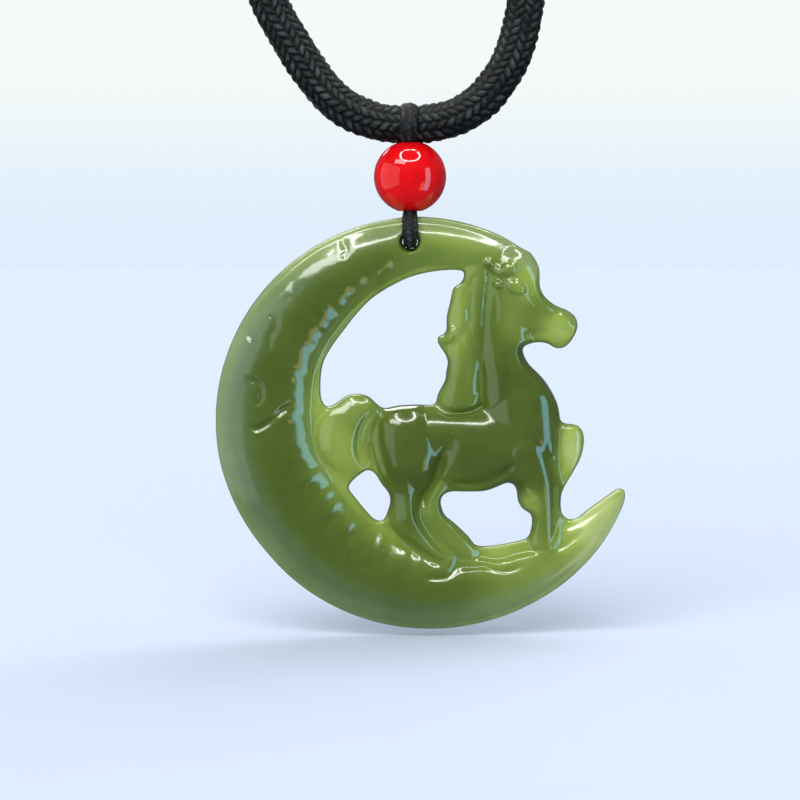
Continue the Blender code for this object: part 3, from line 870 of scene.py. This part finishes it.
# Lines of the mane, the face, the body's creases, and the ground and crescent, for add_lines()
STRANDS = [
    ([(7.3, -2.4), (8.2, -5.5), (8.0, -9.0), (8.8, -12.0), (9.5, -14.6), (9.2, -16.4),
      (7.8, -17.8), (5.6, -18.1)], 1.3, 0.32, True),
    ([(6.2, -4.2), (5.0, -7.2), (4.8, -10.2), (5.3, -13.2), (5.3, -15.6), (4.6, -17.4)],
     1.6, 0.20, False),
    ([(7.0, -4.6), (6.7, -8.0), (6.9, -11.0), (7.6, -13.6), (7.2, -16.2)], 0.5, -0.07, False),
    ([(7.4, -3.4), (6.2, -5.6), (6.6, -8.2), (5.7, -10.8), (6.3, -13.4), (5.8, -16.6)],
     0.48, -0.28, False),
    ([(5.2, -6.6), (4.9, -8.6), (5.3, -10.2), (4.7, -12.2), (5.0, -14.4)], 0.40, -0.24, False),
    ([(4.9, -9.4), (4.1, -10.4), (3.3, -10.9)], 0.7, 0.40, True),
    ([(9.2, -4.4), (9.9, -6.4), (10.0, -8.8)], 0.35, 0.18, True),
]
FACE = [
    ([(8.4, -2.0), (9.2, -2.8), (10.2, -3.7)], 0.45, 0.35, True),
    ([(9.2, -4.2), (10.0, -4.9)], 0.4, 0.3, True),
    ([(12.6, -10.2), (14.0, -10.0), (15.6, -9.9)], 0.5, -0.22, False),
    ([(13.0, -4.6), (13.4, -6.2), (14.6, -7.4)], 0.45, -0.25, False),
]
CREASES = [
    ([(15.2, -22.0), (15.7, -24.6), (16.2, -26.8), (16.2, -30.0), (15.9, -33.0)],
     0.5, -0.22, False),
    ([(4.6, -21.2), (3.9, -23.4), (2.9, -25.6)], 1.1, -0.45, False),
    ([(3.9, -22.6), (2.9, -25.6), (1.7, -27.8), (1.1, -29.2), (1.4, -31.0), (2.9, -33.2),
      (4.4, -35.0)], 0.6, -0.80, False),
    ([(-3.4, -19.4), (-3.5, -21.6), (-3.0, -24.0), (-2.4, -26.0)], 0.5, -0.6, False),
    ([(4.6, -26.6), (7.4, -26.6), (9.6, -25.9), (11.4, -24.4)], 0.45, -0.42, False),
    ([(-4.1, -18.6), (-5.3, -20.4), (-5.7, -22.6), (-5.2, -24.8)], 0.5, -0.5, False),
    ([(-1.8, -21.6), (-1.4, -24.6), (-0.4, -28.0), (0.2, -31.0)], 0.7, 0.22, False),
    ([(2.0, -18.2), (4.2, -18.9), (6.4, -18.7), (8.4, -17.9)], 0.35, -0.4, False),
    ([(16.9, -20.8), (16.6, -23.0), (16.7, -26.0)], 0.45, -0.30, False),
    ([(12.5, -27.4), (13.0, -28.8), (13.6, -29.6)], 0.3, -0.3, False),
]
GROUND = [
    ([(-2.6, -31.3), (0.2, -33.4), (2.6, -35.0), (4.6, -35.5)], 0.4, -0.35, False),
    ([(1.2, -37.1), (4.0, -37.0), (5.4, -36.0), (8.6, -35.9)], 0.4, -0.30, False),
    ([(6.8, -34.6), (9.6, -35.1), (12.4, -34.4), (15.4, -34.0)], 0.32, -0.32, False),
    ([(7.6, -35.6), (10.4, -36.4), (13.0, -35.6)], 0.32, -0.25, False),
    ([(16.4, -32.0), (18.4, -31.9), (20.6, -30.6), (22.8, -28.6)], 0.45, 0.20, False),
    ([(15.6, -34.2), (17.4, -33.4), (19.2, -31.9)], 0.4, -0.3, False),
    ([(-6.8, -33.6), (-6.2, -35.4), (-4.4, -36.2)], 0.4, -0.16, False),
    ([(-18.1, -20.1), (-17.1, -20.6), (-15.8, -20.0), (-14.3, -18.7), (-13.0, -17.6)], 0.34,
     -0.36, False),
    ([(-18.1, -14.9), (-17.2, -15.3), (-16.5, -16.1), (-16.5, -17.3), (-17.0, -18.0)], 0.34,
     -0.34, False),
    ([(-15.6, -7.9), (-14.8, -8.4), (-14.9, -9.6), (-15.5, -10.4), (-15.4, -12.0)], 0.34,
     -0.30, False),
    ([(-17.5, -9.6), (-17.7, -10.3), (-17.2, -10.9)], 0.3, -0.26, False),
    ([(-7.6, 0.3), (-7.0, -0.9), (-7.6, -1.8)], 0.35, -0.18, False),
]


def relief(x, z, edge, front):
    """One face of the stone: the square of its half thickness, negative outside it, the place
    across the crescent, and the height before the rim is rounded.
    """
    body = limb(x, z, BARREL, 0.72)
    body = smooth_max(body, limb(x, z, SHOULDER, 0.86), 2.0)
    body = smooth_max(body, limb(x, z, NECK, 0.82), 2.0)
    body = smooth_max(body, limb(x, z, HEAD, 0.84), 1.5)
    body = smooth_max(body, limb(x, z, HAUNCH, 0.92), 1.0)
    near_legs = np.maximum(limb(x, z, NEAR_HIND, 1.25), limb(x, z, NEAR_FORE, 1.15))
    far_legs = np.maximum(limb(x, z, FAR_HIND, 1.05), limb(x, z, FAR_FORE, 1.2))
    if not front:
        near_legs, far_legs = near_legs * 0.75, far_legs * 1.35
    body = smooth_max(body, near_legs, 0.8)
    moon, across = moon_square(x, z)
    square = np.maximum(moon, body)
    square = np.maximum(square, far_legs)
    square = np.maximum(square, limb(x, z, MANE, 0.86))
    square = np.maximum(square, limb(x, z, TAIL, 0.66))
    square = np.maximum(square, limb(x, z, RAISED, 0.86))
    square = smooth_max(square, np.float32(1.1), 0.6)
    height = np.sqrt(np.maximum(square, 0))
    height = add_lines(x, z, height, [*STRANDS, *FACE, *CREASES, *GROUND])
    for centre, size, turn, amount in BUMPS:
        height = height + amount * blob(x, z, centre, size, turn)
    height = np.maximum(height, LEAST_HALF)
    rim = np.clip(-edge / RIM_WIDTH, -1.0, 1.0)
    trim = RIM_HALF ** 2 * (1 - (1 - rim) ** 2)
    square = np.where(edge < 0, height ** 2, 50.0)
    return -smooth_max(-square, -trim, 0.25), across, height


# Places painted paler, as if the stone were thinner there, and small raised bumps: centre, size,
# turn in degrees, amount
PALE = [
    ((5.0, 0.6), (6.5, 2.4), -8.0, 0.34),
    ((12.9, -4.2), (3.4, 4.2), 0.0, 0.92),
    ((16.2, -9.4), (3.2, 2.8), 0.0, 0.85),
    ((11.0, -9.0), (2.8, 5.0), 0.0, 0.55),
    ((5.4, -9.5), (2.6, 8.5), 0.0, 0.60),
    ((-7.6, -22.2), (3.2, 4.2), 0.0, 0.57),
    ((17.8, -22.8), (2.0, 4.6), 0.0, 0.90),
    ((13.2, -28.8), (2.2, 2.8), 0.0, 1.15),
    ((20.8, -30.8), (4.8, 3.8), 40.0, 0.85),
    ((12.0, -37.6), (8.0, 4.0), 20.0, 0.24),
    ((-10.0, 0.0), (9.5, 4.4), 26.0, 0.48),
]
BUMPS = [
    ((8.6, -2.2), (0.6, 0.5), 0.0, 0.30),
    ((10.9, -2.9), (1.0, 0.75), 20.0, 0.42),
    ((11.6, -4.9), (1.25, 0.8), -25.0, 0.45),
    ((9.6, -4.7), (0.6, 0.45), -40.0, 0.25),
    ((16.9, -8.7), (1.1, 0.8), -30.0, 0.25),
    ((4.0, -6.0), (0.7, 0.4), -20.0, 0.2),
    ((12.9, -28.3), (1.1, 1.1), 0.0, 0.30),
]


def sample(grid, x, z):
    """The grid's value at places between its points."""
    u = np.clip((x - LOW[0]) / GRID, 0, grid.shape[0] - 1.001)
    v = np.clip((z - LOW[1]) / GRID, 0, grid.shape[1] - 1.001)
    i, j = u.astype(int), v.astype(int)
    u, v = u - i, v - j
    return (grid[i, j] * (1 - u) * (1 - v) + grid[i + 1, j] * u * (1 - v)
            + grid[i, j + 1] * (1 - u) * v + grid[i + 1, j + 1] * u * v)


def skin(field, origin, step):
    """The surface where a field on a 3-D grid is zero, as points and four-sided faces."""
    inside = field < 0
    shape = np.array(field.shape) - 1
    full = np.zeros(shape, np.int8)
    corners = [(i, j, k) for i in (0, 1) for j in (0, 1) for k in (0, 1)]
    for i, j, k in corners:
        full += inside[i:i + shape[0], j:j + shape[1], k:k + shape[2]]
    cells = np.argwhere((full > 0) & (full < 8))
    number = np.full(shape, -1, np.int32)
    number[tuple(cells.T)] = np.arange(len(cells))
    values = {c: field[tuple((cells + c).T)] for c in corners}
    total = np.zeros((len(cells), 3))
    crossings = np.zeros(len(cells))
    for a in corners:
        for axis in range(3):
            if a[axis]:
                continue
            b = tuple(1 if n == axis else a[n] for n in range(3))
            va, vb = values[a], values[b]
            cut = (va < 0) != (vb < 0)
            t = np.where(cut, va / np.where(cut, va - vb, 1), 0)
            for n in range(3):
                total[:, n] += cut * (a[n] + (t if n == axis else 0))
            crossings += cut
    points = origin + (cells + total / crossings[:, None]) * step
    faces = []
    for axis in range(3):
        u, v = [n for n in range(3) if n != axis]
        low = [slice(1, -1)] * 3
        low[axis] = slice(0, -1)
        high = [slice(1, -1)] * 3
        high[axis] = slice(1, None)
        here, there = inside[tuple(low)], inside[tuple(high)]
        starts = np.argwhere(here != there)
        leaving = here[tuple(starts.T)]
        starts = starts + np.array([0 if n == axis else 1 for n in range(3)])
        ring = []
        for du, dv in ((-1, -1), (0, -1), (0, 0), (-1, 0)):
            cell = starts.copy()
            cell[:, u] += du
            cell[:, v] += dv
            ring.append(number[tuple(cell.T)])
        quads = np.column_stack(ring)
        flip = leaving if axis != 1 else ~leaving
        quads[~flip] = quads[~flip][:, ::-1]
        faces.append(quads)
    return points, np.vstack(faces)


def relaxed(points, faces, rounds, share):
    """Each point moved part of the way to the middle of its neighbours."""
    edges = np.vstack([faces[:, [a, (a + 1) % 4]] for a in range(4)])
    start, end = edges[:, 0], edges[:, 1]
    count = np.bincount(start, minlength=len(points)) + np.bincount(end, minlength=len(points))
    for _ in range(rounds):
        middle = np.column_stack([
            (np.bincount(start, points[end, n], len(points))
             + np.bincount(end, points[start, n], len(points))) / count for n in range(3)])
        points = points + share * (middle - points)
    return points


def blurred(grid, rounds):
    for _ in range(rounds):
        grid = (grid + np.roll(grid, 1, 0) + np.roll(grid, -1, 0)
                + np.roll(grid, 1, 1) + np.roll(grid, -1, 1)) / 5
    return grid


def pulled_on(points, squares):
    """The grid's surface points moved onto the exact faces, in a few short steps downhill."""
    slopes = [np.gradient(square, GRID) for square in squares]
    for _ in range(3):
        px, py, pz = points.T
        ahead = py < 0
        value = py ** 2 - np.where(ahead, *(sample(s, px, pz) for s in squares))
        gx = -np.where(ahead, *(sample(s[0], px, pz) for s in slopes))
        gz = -np.where(ahead, *(sample(s[1], px, pz) for s in slopes))
        gradient = np.column_stack([gx, 2 * py, gz])
        size = (gradient ** 2).sum(1) + 0.05
        move = -(value / size)[:, None] * gradient
        length = np.linalg.norm(move, axis=1, keepdims=True)
        points = points + move * np.minimum(1, 0.1 / np.maximum(length, 1e-9))
    return points


def stone_tint(points, x, z, edge, heights, across):
    """The values that colour the stone: thickness less pale places, place across, and depth."""
    pale = np.zeros(x.shape, np.float32)
    for centre, size, turn, amount in PALE:
        pale += amount * np.exp(-2.0 * (1 - blob_square(x, z, centre, size, turn)))
    solid = blurred((edge < 0).astype(np.float32), THICKNESS_BLUR)
    thick = blurred(heights[0] + heights[1], THICKNESS_BLUR) / np.maximum(solid, 0.2)
    # Painted light: this thickness channel drives the glow through thin stone that the jade
    # material paints; pale places count as thinner.
    thick = thick / FULL_THICKNESS - PALE_SHARE * np.clip(pale, 0, 1.2)
    return np.column_stack([
        np.clip(sample(thick, points[:, 0], points[:, 2]), 0, 1),
        np.clip(sample(across, points[:, 0], points[:, 2]), 0, 1),
        np.clip(1 - np.abs(points[:, 1]) / 3.0, 0, 1),
        np.ones(len(points))])


def make_carving(material):
    """The stone: height maps of its two faces, joined into one closed skin."""
    axes = [np.arange(LOW[n], HIGH[n], GRID, dtype=np.float32) for n in (0, 1)]
    x, z = np.meshgrid(*axes, indexing="ij")
    edge = signed_distance(x, z, outline())
    for opening in (MAIN_OPENING, TAIL_OPENING, BELLY_OPENING):
        edge = np.maximum(edge, -signed_distance(x, z, opening))
    hole = np.hypot(x, z - HOLE_LIFT) - HOLE_RADIUS
    edge = np.maximum(edge, -hole)
    squares, heights = [], []
    for front in (True, False):
        square, across, height = relief(x, z, edge, front)
        squares.append(blurred(square, 2))
        heights.append(np.where(edge < 0, height, 0))

    step = 2 * GRID
    depths = np.arange(-4.4, 4.41, step, dtype=np.float32)
    depth = depths[None, :, None]
    front, back = (square[::2, ::2][:, None, :] for square in squares)
    field = np.where(depth < 0, depth ** 2 - front, depth ** 2 - back)
    points, faces = skin(field, np.array([LOW[0], depths[0], LOW[1]]), step)
    points = relaxed(pulled_on(points, squares), faces, 3, 0.5)

    carving = mesh_object("jade_carving_skin", np.array(HOLE) + points * MM, faces, "carving",
                          ["jade_carving"])
    tint = stone_tint(points, x, z, edge, heights, across)
    layer = carving.data.color_attributes.new("stone", "FLOAT_COLOR", "POINT")
    layer.data.foreach_set("color", tint.astype(np.float32).ravel())
    carving.data.materials.append(material)


make_camera()
bpy.context.scene.view_settings.view_transform = "Standard"
# The fibre's own black, which the cord material also paints into the grooves as shade.
FIBRE_BLACK_AND_GROOVE_SHADE = (0.003, 0.0035, 0.004)
braid_black = cord_material("braided_cord", FIBRE_BLACK_AND_GROOVE_SHADE, (0.060, 0.073, 0.077), 0.6, 5200.0, 0.03)
thread_black = cord_material("loop_thread", FIBRE_BLACK_AND_GROOVE_SHADE, (0.050, 0.058, 0.062), 0.5, 7000.0, 0.03)
make_neck_cord(braid_black)
for label, side, foot, above in (("left", 1, NECK_ROUTE[0], NECK_ROUTE[1]),
                                 ("right", -1, NECK_ROUTE[-1], NECK_ROUTE[-2])):
    start = make_end_wrap(label, foot, above, thread_black)
    make_thin_cord(label, side, start, braid_black)
make_sliding_knot(braid_black)
make_hang_loop(thread_black)
make_bead(bead_material())
make_carving(jade_material())
make_floor()
make_world()
make_lights()
